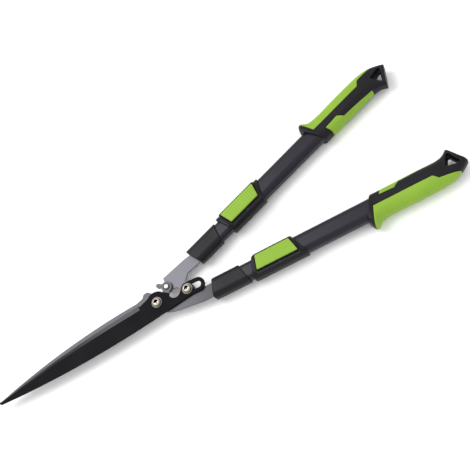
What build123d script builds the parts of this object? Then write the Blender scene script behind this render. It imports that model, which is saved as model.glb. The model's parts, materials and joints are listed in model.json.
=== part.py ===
"""Telescopic hedge shears with a geared-up blade lever, modelled closed and lying flat.

Millimetres, +Z up. The shears lie on the plane Z = 0 with the blades towards -X, the two
handles towards +X, and the handles' line of symmetry along X.
"""

import os
from math import atan2, cos, degrees, hypot, radians, sin

from build123d import *

# ---------------------------------------------------------------- driving dimensions
# plates
PLATE_T = 3.0  # thickness of both blades and of the lever plate
PLATE_GAP = 0.3  # air between plates that turn against each other
RUNNING_FIT = 0.05  # radial clearance of a pin that turns in its hole
HEAD_GAP = 0.1  # air under a head that turns against a plate

# pivots, measured from the main pivot
PIVOT_X = -85.1
PIVOT_Y = 4.25
LEVER_PIVOT = (21.5, 12.5)
DRIVE_PIVOT = (45.0, -10.2)

# blades, measured from the main pivot
TIP_X = -262.0
HEEL_X = -25.5
BOSS_R = 15.5
BEVEL_WIDTHS = (7.0, 5.5, 2.0)  # at the heel, half way and at the tip
BEVEL_DEPTH = 2.4
FRONT_EDGE = ((HEEL_X, 12.9), (-144.0, 20.7), (TIP_X + 1.0, 20.2))  # heel, middle, tip
REAR_EDGE = ((HEEL_X, -10.5), (-140.0, 2.5), (TIP_X + 2.0, 16.4))
BLADE_SPAN = 40.0  # wider than the blade anywhere
WINDOW = (27.5, -2.0)  # gap that opens between boss, tail and lever, from the main pivot
WINDOW_R = 8.5
LEVER_WINDOW_R = 7.6

# drive slot in the front blade's tail
BUSH_D = 9.0
SLOT_CLEARANCE = 0.25  # each side of the bush, takes up the lever's small side play
SLOT_LENGTH = 15.5  # between the centres of the slot's round ends
TAIL_BAND = 5.0  # metal around the slot

# ear, lobes and stop lug round the lever pivot
LEVER_EAR_R = 7.5
LEVER_LOBE_R = 8.0
DRIVE_LOBE_R = 8.5
LUG_W = 5.8
LUG_REACH = 12.9  # from the lever pivot to the lug's round end
LUG_TURN = 138.0

# handles: S runs out along a handle from the point where both axes cross, T is outward
HANDLE_ANGLE = 10.0  # from the line of symmetry to each handle's axis
CROSS_FROM_PIVOT = 81.8  # from the axes' crossing to the main pivot, along X
AXIS_DROP = 3.3  # handle axes below the shearing plane

# telescopic tubes
INNER_W = 24.8
INNER_H = 16.8
TUBE_WALL = 1.2
TUBE_CORNER = 6.9
TUBE_GAP = 0.4  # sliding clearance between the two tubes, each side
INNER_START = 166.0
INNER_END = 464.0
OUTER_START = 238.0
OUTER_END = 470.0
SLIDE_TRAVEL = 165.0

# ferrule
FERRULE_WALL = 2.0
FERRULE_FRONT_OUT = 154.8
FERRULE_FRONT_IN = 162.0
FERRULE_BACK_OUT = 209.5
FERRULE_BACK_IN = 201.0

# tang and lever shank held in the tube
SHANK_W = 18.0
SHANK_END = 214.0
SHANK_FIT = 0.05
PLUG_END = 219.0
PIN_D = 5.0
PIN_S = (179.0, 193.0)
PLUG_DEPTH = 14.0
PLUG_LIP = 0.3
PLUG_LIP_L = 3.0
FERRULE_CORNER = 3.0  # plan rounding of the ferrule's front corners

# locking collar
COLLAR_WALL = 2.6
COLLAR_FRONT_OUT = 213.5
COLLAR_FRONT_IN = 223.0
COLLAR_BACK_OUT = 294.0
COLLAR_BACK_IN = 280.0
COLLAR_ROUND = 2.5

# rocker lock on the collar, heights above the handle's axis
ROCKER_W = 21.0
ROCKER_PIN_S = 255.5
ROCKER_PIN_D = 3.0
ROCKER_PIN_Z = 13.4
ROCKER_FRONT_OUT = 223.5
ROCKER_FRONT_IN = 227.5
ROCKER_BACK_OUT = 284.0
ROCKER_BACK_IN = 278.5
ROCKER_LOW = 13.6
ROCKER_HIGH = 16.0
ROCKER_HUB_R = 2.3
ROCKER_GAP = 0.4  # between the rocker and the frame round it
FRAME_WALL = 2.0
FRAME_HIGH = 15.0
POCKET_FLOOR = 10.8
PAD_INSET = 0.8
PAD_HIGH = 18.6
PLUNGER_S = 231.5
PLUNGER_L = 6.0
PLUNGER_W = 8.0
PLUNGER_LIFT = 0.35  # plunger tip above the inner tube while the handle slides
LOCK_HOLE_CLEAR = 1.0  # around the plunger
SPRING_S = 272.0
SPRING_D = 4.6
SPRING_WIRE = 0.6
SPRING_TURNS = 3
SPRING_SEAT_D = 5.8
SPRING_SEAT_DEPTH = 1.2

# grip
FLANGE_H = 29.0  # the grip's tallest point, on which the shears rest
GRIP_SECTIONS = (  # distance, inner edge, outer edge, height
    (372.0, -16.8, 18.4, FLANGE_H - 3.0),
    (380.0, -17.2, 21.5, FLANGE_H - 1.0),
    (386.5, -17.4, 27.0, FLANGE_H),
    (392.0, -17.5, 21.8, FLANGE_H - 1.0),
    (400.0, -17.4, 18.6, FLANGE_H - 1.8),
    (430.0, -17.2, 17.8, FLANGE_H - 2.0),
    (470.0, -17.2, 17.8, FLANGE_H - 2.5),
    (488.0, -17.6, 17.0, FLANGE_H - 4.5),
    (497.0, -20.5, 15.6, FLANGE_H - 6.5),
    (505.0, -27.5, 13.0, FLANGE_H - 8.0),
    (513.0, -31.0, 8.5, FLANGE_H - 9.0),
    (523.0, -33.0, 0.5, FLANGE_H - 10.0),
)
GRIP_CORNER = 0.43  # corner radius as a share of the section's height
GRIP_FRONT = ((378.0, 19.0), (395.5, -19.0))  # slanted front face
GRIP_BACK = ((521.5, 0.5), (501.5, -27.0))  # slanted end face
PAD_T = 2.0  # soft pads let into the grip
OUTER_PAD = (
    (392.7, 2.0), (474.3, 2.0), (480.6, 8.5), (511.0, 11.0), (515.0, 22.0), (515.0, 40.0),
    (378.6, 40.0),
)
INNER_PAD = (
    (405.5, -8.5), (426.5, -7.5), (434.0, -13.8), (484.0, -15.5), (489.0, -30.0), (413.5, -30.0),
)
HANG_HOLE = ((496.0, -3.0), (512.0, -0.5), (503.0, -16.0))
HANG_ROUND = 2.0
HANG_FLARE = 1.35  # size of the recesses round the hang hole, as a multiple of the hole
HANG_WEB = 8.0  # thickness left between the two recesses
GRIP_TRIM = 1.6  # the trimming outline's reach, as a multiple of the slanted faces' length

# fasteners
PIVOT_BOLT_D = 8.0
PIVOT_HEAD_D = 12.0
PIVOT_WASHER_D = 15.0
DRIVE_BOLT_D = 6.0
BOLT_HEAD_H = 3.6
BOLT_CROSS = 6.5  # across the cross recess
PIVOT_BOLT_TAIL = 1.5  # bolt end standing out of its nut
DRIVE_BOLT_TAIL = 1.2
RIVET_D = 5.0
RIVET_BUSH_D = 7.0
RIVET_HEAD_D = 7.2
RIVET_FOOT_D = 10.0
RIVET_RING_D = 9.4
RIVET_HEAD_H = 1.5
RIVET_WASHER_T = 0.5
WASHER_T = 1.0
PIVOT_NUT_W = 13.0
PIVOT_NUT_H = 5.0
DRIVE_NUT_W = 10.0
DRIVE_NUT_H = 4.0
SCREW_D = 2.6
SCREW_HEAD_D = 5.2
SCREW_HEAD_H = 1.5
SCREW_TIP_GAP = 0.15  # screw tip short of the outer tube's bore
COLLAR_SCREWS = ((247.0, 0.0), (272.0, 0.0))  # along and across the handle
GRIP_SCREWS = ((461.0, -4.0),)

# ---------------------------------------------------------------- worked-out dimensions
OUTER_W = INNER_W + 2 * (TUBE_GAP + TUBE_WALL)
OUTER_H = INNER_H + 2 * (TUBE_GAP + TUBE_WALL)
OUTER_CORNER = TUBE_CORNER + TUBE_GAP + TUBE_WALL
HANDLE_Z = FLANGE_H / 2
SHEAR_Z = HANDLE_Z + AXIS_DROP
FRONT_BOTTOM = SHEAR_Z + PLATE_GAP / 2
FRONT_TOP = FRONT_BOTTOM + PLATE_T
REAR_TOP = SHEAR_Z - PLATE_GAP / 2
REAR_BOTTOM = REAR_TOP - PLATE_T
LEVER_TOP = REAR_BOTTOM - PLATE_GAP
LEVER_BOTTOM = LEVER_TOP - PLATE_T
CROSS_X = PIVOT_X - CROSS_FROM_PIVOT
SLOT_W = BUSH_D + 2 * SLOT_CLEARANCE
SLOT_TURN = degrees(atan2(DRIVE_PIVOT[1], DRIVE_PIVOT[0]))
DRIVE_R = hypot(*DRIVE_PIVOT)
SLOT_MIDDLE = tuple(v * (1 + SLOT_LENGTH / 2 / DRIVE_R) for v in DRIVE_PIVOT)
LUG_END = (
    LEVER_PIVOT[0] + LUG_REACH * cos(radians(LUG_TURN)),
    LEVER_PIVOT[1] + LUG_REACH * sin(radians(LUG_TURN)),
)
LUG_MIDDLE = ((LEVER_PIVOT[0] + LUG_END[0]) / 2, (LEVER_PIVOT[1] + LUG_END[1]) / 2)
LOCK_S = [PLUNGER_S + SLIDE_TRAVEL * share for share in (0, 0.5, 1)]

os.makedirs("parts", exist_ok=True)


def save(builder, node):
    """Label a finished piece and write it to its own STEP file."""
    builder.part.label = node
    export_step(builder.part, f"parts/{node}.step")


def at_pivot(x, y):
    """A plan point given from the main pivot."""
    return (PIVOT_X + x, PIVOT_Y + y)


def on_handle(side, s, t):
    """A plan point given along and across a handle; side is 1 for upper, -1 for lower."""
    turn = radians(HANDLE_ANGLE)
    return (CROSS_X + s * cos(turn) - t * sin(turn), side * (s * sin(turn) + t * cos(turn)))


def plan_plane(side, z):
    """The plan plane of a handle at height z, with X along its axis."""
    turn = radians(HANDLE_ANGLE)
    return Plane(origin=(CROSS_X, 0, z), x_dir=(cos(turn), side * sin(turn), 0), z_dir=(0, 0, 1))


def cross_plane(side, s):
    """The plane across a handle at distance s, with X pointing outward."""
    turn = radians(HANDLE_ANGLE)
    axis = (cos(turn), side * sin(turn), 0)
    outward = (-sin(turn), side * cos(turn), 0)
    centre = (CROSS_X + s * cos(turn), side * s * sin(turn), HANDLE_Z)
    return Plane(origin=centre, x_dir=outward, z_dir=axis)


def facing(side, points):
    """Handle points (s, t) turned to the plan plane's own X and Y."""
    return [(s, side * t) for s, t in points]


# ---------------------------------------------------------------- blades and lever
def bevel_wedge(edge, outward, z_edge, z_face):
    """The wedge ground off along a curved cutting edge, given at its heel, middle and tip.

    outward is 1 where the edge faces +Y and -1 where it faces -Y.
    """
    with BuildPart() as wedge:
        for z, share in ((z_edge, 0), (z_face, 1)):
            ends = []
            for (x, y), width in zip(edge, BEVEL_WIDTHS):
                ends.append(at_pivot(x, y - outward * share * width))
            with BuildSketch(Plane.XY.offset(z)):
                with BuildLine():
                    ThreePointArc(*ends)
                    Polyline(
                        ends[2],
                        at_pivot(edge[2][0], edge[2][1] + outward * BLADE_SPAN),
                        at_pivot(edge[0][0], edge[0][1] + outward * BLADE_SPAN),
                        ends[0],
                    )
                make_face()
        loft(ruled=True)
    return wedge.part


def make_front_blade():
    """The black upper blade: blade, pivot boss, and the slotted tail that drives it."""
    heel, middle, tip = FRONT_EDGE
    wedge = bevel_wedge(FRONT_EDGE, 1, FRONT_TOP - BEVEL_DEPTH, FRONT_TOP)
    with BuildPart() as front_blade:
        with BuildSketch(Plane.XY.offset(FRONT_BOTTOM)):
            with BuildLine():
                low = at_pivot(TIP_X + 1.0, 15.4)
                ThreePointArc(low, at_pivot(TIP_X, 17.8), at_pivot(*tip))
                ThreePointArc(at_pivot(*tip), at_pivot(*middle), at_pivot(*heel))
                Polyline(
                    at_pivot(*heel),
                    at_pivot(HEEL_X + 1.5, 10.2),
                    at_pivot(-9.0, 12.6),
                    at_pivot(0, 0),
                    at_pivot(0, -18.6),
                )
                ThreePointArc(at_pivot(0, -18.6), at_pivot(-130, -7.3), low)
            make_face()
            with Locations(at_pivot(0, 0)):
                Circle(BOSS_R)
            with BuildLine():
                Polyline(
                    at_pivot(0, 0),
                    at_pivot(11.5, 10.0),
                    at_pivot(22.5, -1.0),
                    at_pivot(*DRIVE_PIVOT),
                    at_pivot(50, -21.0),
                    at_pivot(33, -20.0),
                    at_pivot(0, -18.6),
                    close=True,
                )
            make_face()
            with Locations(at_pivot(*SLOT_MIDDLE)):
                SlotCenterToCenter(SLOT_LENGTH, SLOT_W + 2 * TAIL_BAND, rotation=SLOT_TURN)
                SlotCenterToCenter(SLOT_LENGTH, SLOT_W, rotation=SLOT_TURN, mode=Mode.SUBTRACT)
            with Locations(at_pivot(*WINDOW)):
                Circle(WINDOW_R, mode=Mode.SUBTRACT)
            with Locations(at_pivot(0, 0)):
                Circle(PIVOT_BOLT_D / 2 + RUNNING_FIT, mode=Mode.SUBTRACT)
        extrude(amount=PLATE_T)
        add(wedge, mode=Mode.SUBTRACT)
    save(front_blade, "front_blade")


def make_rear_blade():
    """The grey lower blade: blade, pivot boss, lever ear with its stop lug, and the tang."""
    heel, middle, tip = REAR_EDGE
    wedge = bevel_wedge(REAR_EDGE, -1, REAR_BOTTOM + BEVEL_DEPTH, REAR_BOTTOM)
    ear_r = LEVER_EAR_R
    with BuildPart() as rear_blade:
        with BuildSketch(Plane.XY.offset(REAR_BOTTOM)):
            with BuildLine():
                high = at_pivot(TIP_X + 2.0, 20.6)
                ThreePointArc(at_pivot(*tip), at_pivot(TIP_X + 1.2, 18.1), high)
                ThreePointArc(high, at_pivot(-150, 25.9), at_pivot(HEEL_X, 18.1))
                Polyline(
                    at_pivot(HEEL_X, 18.1),
                    at_pivot(-15.5, 19.2),
                    at_pivot(-11.5, 23.4),
                    at_pivot(-5.5, 23.0),
                    at_pivot(6.0, 9.0),
                    at_pivot(0, -BOSS_R),
                    at_pivot(*heel),
                )
                ThreePointArc(at_pivot(*heel), at_pivot(*middle), at_pivot(*tip))
            make_face()
            with Locations(at_pivot(0, 0)):
                Circle(BOSS_R - 1.0)
            with BuildLine():
                Polyline(
                    at_pivot(0, 0),
                    at_pivot(10.5, 7.0),
                    at_pivot(LEVER_PIVOT[0] - ear_r, LEVER_PIVOT[1] - 2.0),
                    at_pivot(LEVER_PIVOT[0], LEVER_PIVOT[1] - 3.0),
                    at_pivot(LEVER_PIVOT[0] + 1.0, LEVER_PIVOT[1] - ear_r),
                    at_pivot(13.0, -5.0),
                    close=True,
                )
            make_face()
            with BuildLine():
                Polyline(
                    at_pivot(0, 0),
                    at_pivot(14, -8),
                    at_pivot(45, -19.5),
                    on_handle(-1, 148, -SHANK_W / 2),
                    on_handle(-1, SHANK_END, -SHANK_W / 2),
                    on_handle(-1, SHANK_END, SHANK_W / 2),
                    on_handle(-1, 140, SHANK_W / 2),
                    at_pivot(39, -32.3),
                    at_pivot(21, -27.3),
                    at_pivot(11, -23.0),
                    at_pivot(0, -BOSS_R),
                    close=True,
                )
            make_face()
            with Locations(at_pivot(*LEVER_PIVOT)):
                Circle(ear_r)
            with Locations(at_pivot(*LUG_MIDDLE)):
                SlotCenterToCenter(LUG_REACH, LUG_W, rotation=LUG_TURN)
            with Locations(at_pivot(0, 0)):
                Circle(PIVOT_BOLT_D / 2, mode=Mode.SUBTRACT)
            with Locations(at_pivot(*LEVER_PIVOT)):
                Circle(RIVET_D / 2, mode=Mode.SUBTRACT)
            with Locations(*[on_handle(-1, s, 0) for s in PIN_S]):
                Circle(PIN_D / 2, mode=Mode.SUBTRACT)
        extrude(amount=PLATE_T)
        with BuildSketch(Plane.XY.offset(LEVER_BOTTOM)):
            with Locations(at_pivot(*LUG_END)):
                Circle(LUG_W / 2)
        extrude(amount=REAR_BOTTOM - LEVER_BOTTOM)
        add(wedge, mode=Mode.SUBTRACT)
    save(rear_blade, "rear_blade")


def make_lever_plate():
    """The grey lever of the upper handle: it turns on the ear and carries the drive bolt."""
    px, py = LEVER_PIVOT
    qx, qy = DRIVE_PIVOT
    with BuildPart() as lever_plate:
        with BuildSketch(Plane.XY.offset(LEVER_BOTTOM)):
            with BuildLine():
                Polyline(
                    on_handle(1, SHANK_END, SHANK_W / 2),
                    on_handle(1, 156, SHANK_W / 2),
                    on_handle(1, 146, SHANK_W / 2 + 1.6),
                    at_pivot(px + 1.0, py + 14.8),
                    at_pivot(px + 0.2, py + LEVER_LOBE_R),
                    at_pivot(px, py),
                    at_pivot(px + 5.5, py - 6.5),
                    at_pivot(qx - DRIVE_LOBE_R, qy + 2.0),
                    at_pivot(qx, qy),
                    at_pivot(qx + 2.2, qy + 8.0),
                    at_pivot(qx + 2.0, qy + 15.0),
                    at_pivot(qx + 10.0, qy + 22.4),
                    on_handle(1, 156, -SHANK_W / 2),
                    on_handle(1, SHANK_END, -SHANK_W / 2),
                    close=True,
                )
            make_face()
            with Locations(at_pivot(px, py)):
                Circle(LEVER_LOBE_R)
            with Locations(at_pivot(qx, qy)):
                Circle(DRIVE_LOBE_R)
            with Locations(at_pivot(*WINDOW)):
                Circle(LEVER_WINDOW_R, mode=Mode.SUBTRACT)
            with Locations(at_pivot(px, py)):
                Circle(RIVET_BUSH_D / 2 + RUNNING_FIT, mode=Mode.SUBTRACT)
            with Locations(at_pivot(qx, qy)):
                Circle(DRIVE_BOLT_D / 2, mode=Mode.SUBTRACT)
            with Locations(*[on_handle(1, s, 0) for s in PIN_S]):
                Circle(PIN_D / 2, mode=Mode.SUBTRACT)
        extrude(amount=PLATE_T)
    save(lever_plate, "lever_plate")


# ---------------------------------------------------------------- pivot hardware
def make_bolt(node, centre, shank_d, z_low, z_head, head_d, head_h, cross):
    """A pan head bolt standing on its plain shank, with a cross recess in the head."""
    with BuildPart() as bolt:
        with BuildSketch(Plane.XY.offset(z_low)):
            with Locations(at_pivot(*centre)):
                Circle(shank_d / 2)
        extrude(amount=z_head - z_low)
        with BuildSketch(Plane.XY.offset(z_head)):
            with Locations(at_pivot(*centre)):
                Circle(head_d / 2)
        extrude(amount=head_h)
        rim = bolt.edges().sort_by(Axis.Z)[-1]
        fillet(rim, head_h * 0.7)
        with BuildSketch(Plane.XY.offset(z_head + head_h)):
            with Locations(at_pivot(*centre)):
                Rectangle(cross, cross / 4)
                Rectangle(cross / 4, cross)
        extrude(amount=-head_h * 0.55, mode=Mode.SUBTRACT)
        foot = bolt.faces().sort_by(Axis.Z)[0].edges()
        chamfer(foot, shank_d * 0.08)
    save(bolt, node)


def make_ring(node, centre, outer_d, inner_d, z_low, height, hexagon=False):
    """A washer, bush or nut round a pivot."""
    with BuildPart() as ring:
        with BuildSketch(Plane.XY.offset(z_low)):
            with Locations(at_pivot(*centre)):
                if hexagon:
                    RegularPolygon(outer_d / 2, 6, major_radius=False)
                else:
                    Circle(outer_d / 2)
                Circle(inner_d / 2, mode=Mode.SUBTRACT)
        extrude(amount=height)
    save(ring, node)


def make_main_pivot():
    """Bolt, washer and nut that clamp on the rear blade and let the front blade turn."""
    washer_z = FRONT_TOP + HEAD_GAP
    head_z = washer_z + WASHER_T
    nut_z = REAR_BOTTOM - PIVOT_NUT_H
    make_bolt(
        "pivot_bolt", (0, 0), PIVOT_BOLT_D, nut_z - PIVOT_BOLT_TAIL, head_z, PIVOT_HEAD_D,
        BOLT_HEAD_H, BOLT_CROSS,
    )
    make_ring("pivot_washer", (0, 0), PIVOT_WASHER_D, PIVOT_BOLT_D, washer_z, WASHER_T)
    make_ring("pivot_nut", (0, 0), PIVOT_NUT_W, PIVOT_BOLT_D, nut_z, PIVOT_NUT_H, True)


def make_lever_pivot():
    """Rivet through the ear, with the bush on which the lever plate turns."""
    px, py = LEVER_PIVOT
    with BuildPart() as lever_rivet:
        with BuildSketch(Plane.XY.offset(LEVER_BOTTOM - HEAD_GAP - RIVET_HEAD_H)):
            with Locations(at_pivot(px, py)):
                Circle(RIVET_FOOT_D / 2)
        extrude(amount=RIVET_HEAD_H)
        chamfer(lever_rivet.edges().sort_by(Axis.Z)[0], 0.5)
        with BuildSketch(Plane.XY.offset(LEVER_BOTTOM - HEAD_GAP)):
            with Locations(at_pivot(px, py)):
                Circle(RIVET_D / 2)
        extrude(amount=REAR_TOP + RIVET_WASHER_T - LEVER_BOTTOM + HEAD_GAP)
        with BuildSketch(Plane.XY.offset(REAR_TOP + RIVET_WASHER_T)):
            with Locations(at_pivot(px, py)):
                Circle(RIVET_HEAD_D / 2)
        extrude(amount=RIVET_HEAD_H)
        fillet(lever_rivet.edges().sort_by(Axis.Z)[-1], RIVET_HEAD_H * 0.8)
    save(lever_rivet, "lever_rivet")
    make_ring(
        "lever_bush", LEVER_PIVOT, RIVET_BUSH_D, RIVET_D, LEVER_BOTTOM - HEAD_GAP,
        REAR_BOTTOM - LEVER_BOTTOM + HEAD_GAP,
    )
    make_ring("lever_washer", LEVER_PIVOT, RIVET_RING_D, RIVET_D, REAR_TOP, RIVET_WASHER_T)


def make_drive_pin():
    """Bolt, bush and nut on the lever plate; the bush rides in the front blade's slot."""
    head_z = FRONT_TOP + HEAD_GAP
    nut_z = LEVER_BOTTOM - DRIVE_NUT_H
    make_ring("drive_bush", DRIVE_PIVOT, BUSH_D, DRIVE_BOLT_D, LEVER_TOP, head_z - LEVER_TOP)
    make_ring("drive_washer", DRIVE_PIVOT, PIVOT_WASHER_D, DRIVE_BOLT_D, head_z, WASHER_T)
    make_bolt(
        "drive_bolt", DRIVE_PIVOT, DRIVE_BOLT_D, nut_z - DRIVE_BOLT_TAIL, head_z + WASHER_T,
        PIVOT_HEAD_D, BOLT_HEAD_H, BOLT_CROSS,
    )
    make_ring("drive_nut", DRIVE_PIVOT, DRIVE_NUT_W, DRIVE_BOLT_D, nut_z, DRIVE_NUT_H, True)


# ---------------------------------------------------------------- one handle's inner arm
def make_inner_arm(side, name, shank_z):
    """Ferrule, shank plug, cross pins, inner tube and its end plug."""
    bore_w = INNER_W - 2 * TUBE_WALL
    bore_h = INNER_H - 2 * TUBE_WALL
    bore_corner = TUBE_CORNER - TUBE_WALL

    with BuildPart() as inner_tube:
        with BuildSketch(cross_plane(side, INNER_START)):
            RectangleRounded(INNER_W, INNER_H, TUBE_CORNER)
            RectangleRounded(bore_w, bore_h, bore_corner, mode=Mode.SUBTRACT)
        extrude(amount=INNER_END - INNER_START)
        with BuildSketch(plan_plane(side, HANDLE_Z)):
            with Locations(*[(s, 0) for s in LOCK_S]):
                RectangleRounded(
                    PLUNGER_L + 2 * LOCK_HOLE_CLEAR, PLUNGER_W + 2 * LOCK_HOLE_CLEAR, 1.0
                )
        extrude(amount=INNER_H, mode=Mode.SUBTRACT)
        with BuildSketch(plan_plane(side, HANDLE_Z)):
            with Locations(*[(s, 0) for s in PIN_S]):
                Circle(PIN_D / 2)
        extrude(amount=INNER_H, both=True, mode=Mode.SUBTRACT)
    save(inner_tube, f"{name}_inner_tube")

    with BuildPart() as shank_plug:
        with BuildSketch(cross_plane(side, INNER_START)):
            RectangleRounded(bore_w, bore_h, bore_corner)
        extrude(amount=PLUG_END - INNER_START)
        with BuildSketch(plan_plane(side, shank_z - SHANK_FIT)):
            with Locations((INNER_START - 1, 0)):
                Rectangle(
                    SHANK_END + 2 - INNER_START, SHANK_W + 2 * SHANK_FIT,
                    align=(Align.MIN, Align.CENTER),
                )
        extrude(amount=PLATE_T + 2 * SHANK_FIT, mode=Mode.SUBTRACT)
        with BuildSketch(plan_plane(side, HANDLE_Z)):
            with Locations(*[(s, 0) for s in PIN_S]):
                Circle(PIN_D / 2)
        extrude(amount=INNER_H, both=True, mode=Mode.SUBTRACT)
    save(shank_plug, f"{name}_shank_plug")

    with BuildPart() as cross_pins:
        with BuildSketch(plan_plane(side, HANDLE_Z - INNER_H / 2)):
            with Locations(*[(s, 0) for s in PIN_S]):
                Circle(PIN_D / 2)
        extrude(amount=INNER_H)
    save(cross_pins, f"{name}_cross_pins")

    with BuildPart() as end_plug:
        with BuildSketch(cross_plane(side, INNER_END - PLUG_DEPTH)):
            RectangleRounded(bore_w, bore_h, bore_corner)
        extrude(amount=PLUG_DEPTH)
        with BuildSketch(cross_plane(side, INNER_END)):
            RectangleRounded(
                INNER_W + 2 * PLUG_LIP, INNER_H + 2 * PLUG_LIP, TUBE_CORNER + PLUG_LIP
            )
        extrude(amount=PLUG_LIP_L)
    save(end_plug, f"{name}_end_plug")

    wide = INNER_W + 2 * FERRULE_WALL
    high = INNER_H + 2 * FERRULE_WALL
    outline = (
        (FERRULE_FRONT_OUT, wide / 2),
        (FERRULE_FRONT_IN, -wide / 2),
        (FERRULE_BACK_IN, -wide / 2),
        (FERRULE_BACK_OUT, wide / 2),
    )
    along = Axis(cross_plane(side, 0).origin, cross_plane(side, 0).z_dir)
    with BuildPart() as ferrule:
        with BuildSketch(cross_plane(side, FERRULE_FRONT_OUT - 1)):
            RectangleRounded(wide, high, TUBE_CORNER + FERRULE_WALL)
        extrude(amount=FERRULE_BACK_OUT + 2 - FERRULE_FRONT_OUT)
        with BuildSketch(plan_plane(side, HANDLE_Z)) as plan:
            with BuildLine():
                Polyline(*facing(side, outline), close=True)
            make_face()
            fillet(plan.vertices().sort_by(along)[:2], FERRULE_CORNER)
        extrude(amount=high, both=True, mode=Mode.INTERSECT)
        with BuildSketch(cross_plane(side, INNER_START)):
            RectangleRounded(INNER_W, INNER_H, TUBE_CORNER)
        extrude(amount=FERRULE_BACK_OUT - INNER_START + 2, mode=Mode.SUBTRACT)
        with BuildSketch(plan_plane(side, shank_z - SHANK_FIT)):
            with Locations((FERRULE_FRONT_OUT - 5, 0)):
                Rectangle(
                    INNER_START - FERRULE_FRONT_OUT + 10, SHANK_W + 2 * SHANK_FIT,
                    align=(Align.MIN, Align.CENTER),
                )
        extrude(amount=PLATE_T + 2 * SHANK_FIT, mode=Mode.SUBTRACT)
    save(ferrule, f"{name}_ferrule")


# ---------------------------------------------------------------- one sliding handle
def rocker_outline(side, grow):
    """The rocker's four-sided plan outline, grown or shrunk all round."""
    half = ROCKER_W / 2 + grow
    points = (
        (ROCKER_FRONT_OUT - grow, half),
        (ROCKER_FRONT_IN - grow, -half),
        (ROCKER_BACK_IN + grow, -half),
        (ROCKER_BACK_OUT + grow, half),
    )
    return facing(side, points)


def add_prism(side, points, low, high, mode=Mode.ADD, corner=0.0):
    """Extrude a plan outline between two heights above the handle's axis."""
    with BuildSketch(plan_plane(side, HANDLE_Z + low)) as sketch:
        with BuildLine():
            Polyline(*points, close=True)
        make_face()
        if corner:
            fillet(sketch.vertices(), corner)
    extrude(sketch.sketch, amount=high - low, mode=mode)


def add_crosswise(side, s, z, radius, half_length, mode=Mode.ADD):
    """A round bar or hole across the handle at distance s and height z above its axis."""
    across = cross_plane(side, s).x_dir
    centre = Vector(*on_handle(side, s, 0), HANDLE_Z + z)
    with BuildSketch(Plane(origin=centre, x_dir=(0, 0, 1), z_dir=across)) as sketch:
        Circle(radius)
    extrude(sketch.sketch, amount=half_length, both=True, mode=mode)


def add_screw_holes(side, places, seat):
    """Clearance and head recesses for screws driven in from below."""
    for z, radius in ((seat, SCREW_HEAD_D / 2), (0, SCREW_D / 2)):
        with BuildSketch(plan_plane(side, HANDLE_Z + z)) as sketch:
            with Locations(*facing(side, places)):
                Circle(radius)
        extrude(sketch.sketch, amount=-FLANGE_H, mode=Mode.SUBTRACT)


def make_screws(side, node, places, seat):
    """Small pan head screws from below, one solid each, ending inside the tube's wall."""
    tip = -(OUTER_H / 2 - TUBE_WALL) - SCREW_TIP_GAP
    with BuildPart() as screws:
        with BuildSketch(plan_plane(side, HANDLE_Z + seat)):
            with Locations(*facing(side, places)):
                Circle(SCREW_D / 2)
        extrude(amount=tip - seat)
        with BuildSketch(plan_plane(side, HANDLE_Z + seat)):
            with Locations(*facing(side, places)):
                Circle(SCREW_HEAD_D / 2)
        extrude(amount=-SCREW_HEAD_H)
        low = screws.edges().group_by(Axis.Z)[0]
        fillet(low, SCREW_HEAD_H / 2)
        with BuildSketch(plan_plane(side, HANDLE_Z + seat - SCREW_HEAD_H)):
            with Locations(*facing(side, places)):
                Rectangle(SCREW_HEAD_D * 0.6, SCREW_HEAD_D * 0.14)
                Rectangle(SCREW_HEAD_D * 0.14, SCREW_HEAD_D * 0.6)
        extrude(amount=SCREW_HEAD_H * 0.6, mode=Mode.SUBTRACT)
    save(screws, node)


def make_outer_tube(side, name):
    """The sliding tube, with the screw holes of the collar and the grip."""
    with BuildPart() as outer_tube:
        with BuildSketch(cross_plane(side, OUTER_START)):
            RectangleRounded(OUTER_W, OUTER_H, OUTER_CORNER)
            RectangleRounded(
                OUTER_W - 2 * TUBE_WALL, OUTER_H - 2 * TUBE_WALL, OUTER_CORNER - TUBE_WALL,
                mode=Mode.SUBTRACT,
            )
        extrude(amount=OUTER_END - OUTER_START)
        with BuildSketch(plan_plane(side, HANDLE_Z)):
            with Locations(*facing(side, COLLAR_SCREWS + GRIP_SCREWS)):
                Circle(SCREW_D / 2)
        extrude(amount=-OUTER_H, mode=Mode.SUBTRACT)
    save(outer_tube, f"{name}_outer_tube")


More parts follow.
